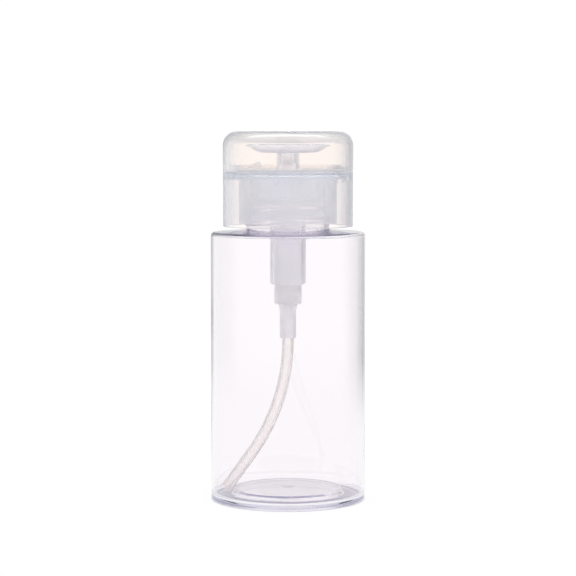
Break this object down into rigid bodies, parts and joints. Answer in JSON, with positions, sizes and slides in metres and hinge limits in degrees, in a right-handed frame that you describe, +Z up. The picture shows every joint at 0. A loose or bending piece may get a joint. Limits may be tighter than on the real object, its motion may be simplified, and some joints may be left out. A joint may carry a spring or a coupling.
{
  "type": "nail polish remover pump",
  "caption": "Clear cylindrical bottle with a translucent flip lid over a push-down dish dispenser, its spring pump and curved dip tube.",
  "frame": {"origin": "middle of the bottle's foot ring, on the surface that it stands on", "axes": "+Z up along the bottle's axis, -Y towards the viewer of the picture, the dip tube bends towards -X"},
  "size_m": [0.055, 0.055, 0.1313],
  "materials": {
    "clear_pet": "clear, glossy, blow moulded",
    "natural_pp": "translucent natural, satin",
    "soft_pe": "translucent, soft",
    "steel": "polished stainless steel"
  },
  "bodies": {
    "bottle": {"bottle": "clear_pet"},
    "pump": {"neck_gasket": "soft_pe", "pump_sleeve": "natural_pp", "pump_cylinder": "natural_pp", "ball_retainer": "natural_pp", "dip_tube": "soft_pe", "stem_guide": "natural_pp", "return_spring": "steel"},
    "suction_ball": {"suction_ball": "steel"},
    "closure": {"closure": "natural_pp"},
    "plunger": {"press_dish": "natural_pp", "outlet_cap": "natural_pp", "piston_stem": "natural_pp", "piston_seal": "soft_pe"},
    "discharge_ball": {"discharge_ball": "steel"},
    "lid": {"flip_lid": "natural_pp"}
  },
  "joints": [
    {"name": "closure_turn", "type": "hinge", "parent": "pump", "child": "closure", "pos_m": [0, 0, 0.1], "axis": [0, 0, 1], "range_deg": [0, 450]},
    {"name": "pump_lift", "type": "slide", "parent": "bottle", "child": "pump", "axis": [0, 0, 1], "range_m": [0, 0.0053]},
    {"name": "lid_hinge", "type": "hinge", "parent": "closure", "child": "lid", "pos_m": [-0.01869, 0.01513, 0.11705], "axis": [-0.6293, -0.7771, 0], "range_deg": [0, 135]},
    {"name": "press", "type": "slide", "parent": "pump", "child": "plunger", "axis": [0, 0, -1], "range_m": [0, 0.005], "stiffness_N_per_m": 400, "springref_m": -0.0025, "deforming": ["return_spring"]},
    {"name": "suction_ball_lift", "type": "slide", "parent": "pump", "child": "suction_ball", "axis": [0, 0, 1], "range_m": [0, 0.0008]},
    {"name": "discharge_ball_lift", "type": "slide", "parent": "plunger", "child": "discharge_ball", "axis": [0, 0, 1], "range_m": [0, 0.00075]}
  ],
  "couplings": [
    {"joint": "pump_lift", "follows": "closure_turn", "m_per_rad": 0.00067323}
  ]
}
